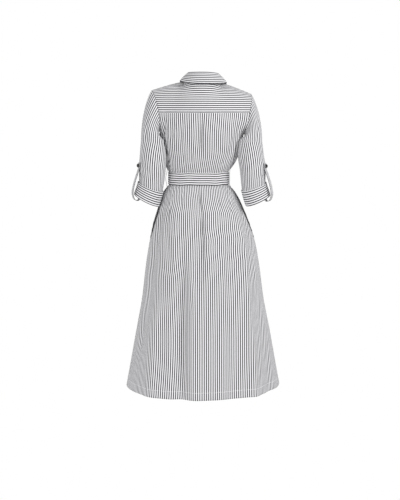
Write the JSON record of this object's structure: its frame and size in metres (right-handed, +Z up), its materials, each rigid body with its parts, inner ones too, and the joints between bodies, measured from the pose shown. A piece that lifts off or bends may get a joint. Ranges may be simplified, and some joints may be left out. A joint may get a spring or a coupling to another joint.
{
  "type": "shirt dress",
  "caption": "Belted midi shirt dress in fine stripes, with a collar, button front, yoke and turned-up elbow sleeves, in its worn form.",
  "frame": {"origin": "midway between the shoulders, level with the base of the neck, where the wearer carries the dress", "axes": "+Z up, the front faces -Y, the wearer's left is +X"},
  "size_m": [0.5971, 0.4678, 1.2255],
  "materials": {
    "striped_cotton": "woven cotton poplin with fine dark and white stripes, soft and matt",
    "button": "polished black with a raised rim",
    "thread": "twisted sewing thread, matt"
  },
  "bodies": {
    "root": {"yoke": "striped_cotton", "back_bodice": "striped_cotton", "front_bodice_left": "striped_cotton", "front_bodice_right": "striped_cotton", "skirt_back": "striped_cotton", "skirt_front_left": "striped_cotton", "skirt_front_right": "striped_cotton", "placket_bodice": "striped_cotton", "placket_skirt": "striped_cotton", "belt": "striped_cotton", "sleeve_left": "striped_cotton", "sleeve_right": "striped_cotton", "cuff_left": "striped_cotton", "cuff_right": "striped_cotton", "tab_left": "striped_cotton", "tab_right": "striped_cotton", "collar_stand": "striped_cotton", "collar_leaf": "striped_cotton", "button_01": "button", "button_02": "button", "button_03": "button", "button_04": "button", "button_05": "button", "button_06": "button", "button_07": "button", "button_08": "button", "button_09": "button", "button_10": "button", "button_11": "button", "tab_button_left": "button", "tab_button_right": "button", "belt_loop_left": "thread", "belt_loop_right": "thread"}
  },
  "joints": []
}
